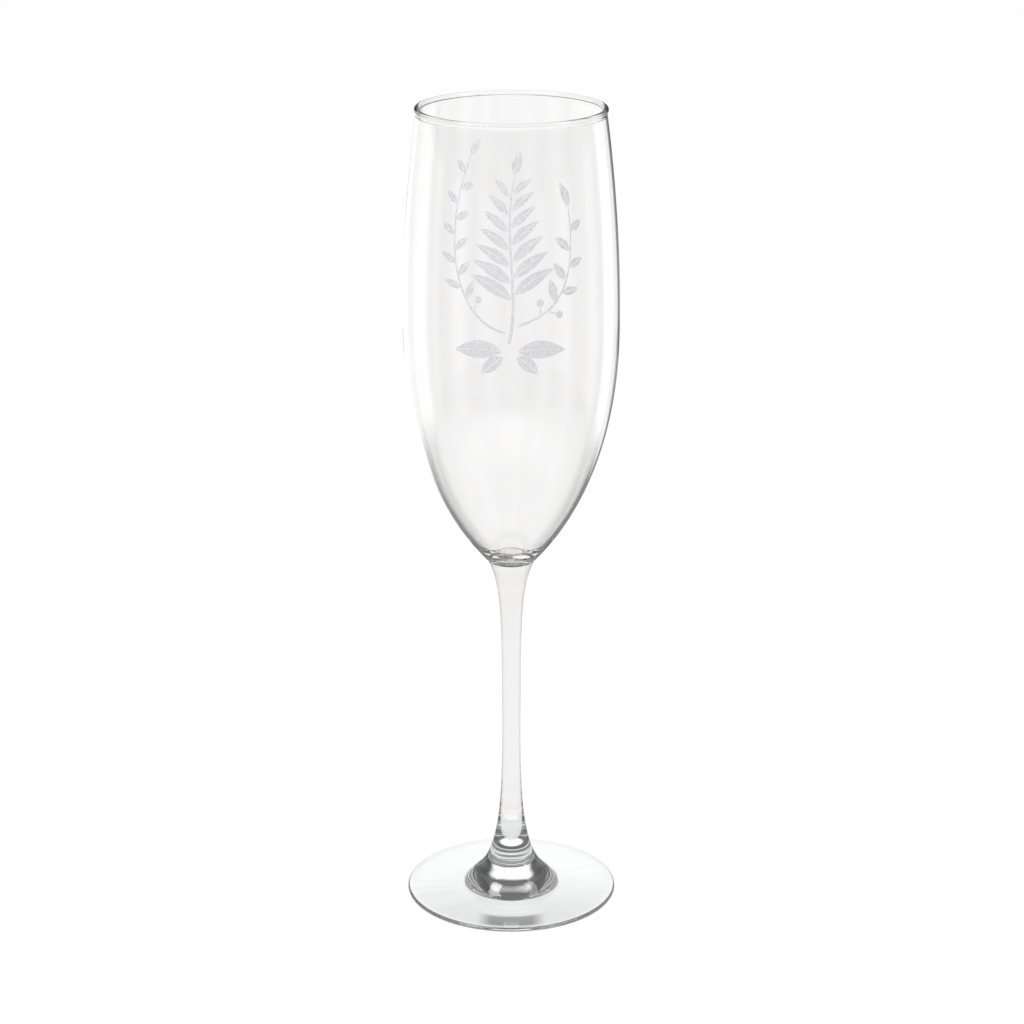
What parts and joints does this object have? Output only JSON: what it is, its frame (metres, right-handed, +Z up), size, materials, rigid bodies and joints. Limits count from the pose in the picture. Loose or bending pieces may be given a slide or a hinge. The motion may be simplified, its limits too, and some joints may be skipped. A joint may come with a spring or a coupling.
{
  "type": "champagne flute",
  "caption": "Tall clear-glass champagne flute: slender tulip bowl with a beaded lip and a frosted leaf motif, slim drawn stem and wide round foot.",
  "frame": {"origin": "centre of the foot's flat resting ring, on the surface that the glass stands on", "axes": "+Z up along the stem, from the foot to the lip; +X and +Y are level, and -Y is the side that the frosted motif faces"},
  "size_m": [0.0616, 0.0616, 0.235],
  "materials": {
    "clear_glass": "polished clear soda-lime glass",
    "frosted_motif": "satin-etched glass"
  },
  "bodies": {
    "root": {"bowl": "clear_glass", "stem": "clear_glass", "foot": "clear_glass"}
  },
  "joints": []
}
